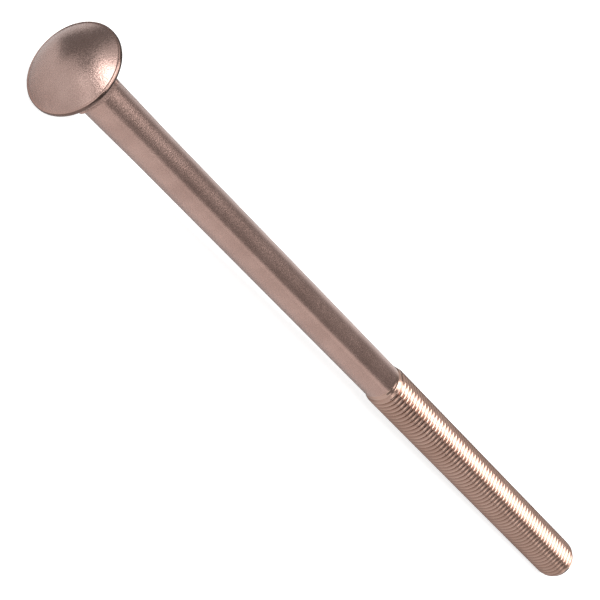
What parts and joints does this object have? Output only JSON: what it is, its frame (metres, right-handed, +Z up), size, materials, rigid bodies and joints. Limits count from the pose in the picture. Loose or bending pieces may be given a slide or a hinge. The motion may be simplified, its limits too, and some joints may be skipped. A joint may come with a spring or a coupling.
{
  "type": "carriage bolt",
  "caption": "Long carriage bolt with a low domed round head, a square neck, a plain shank of reduced diameter and a threaded end with a rounded point.",
  "frame": {"origin": "centre of the lying bolt's bounding box in X and Y, on the ground that its head's rim and threaded end touch", "axes": "+X along the bolt from the head to the point, within 1.34 degrees because the bolt leans down to its thinner end; +Z up"},
  "size_m": [0.311, 0.0266, 0.0266],
  "materials": {
    "bronze": "satin, lightly grained, shinier on the thread"
  },
  "bodies": {
    "root": {"carriage_bolt": "bronze"}
  },
  "joints": []
}
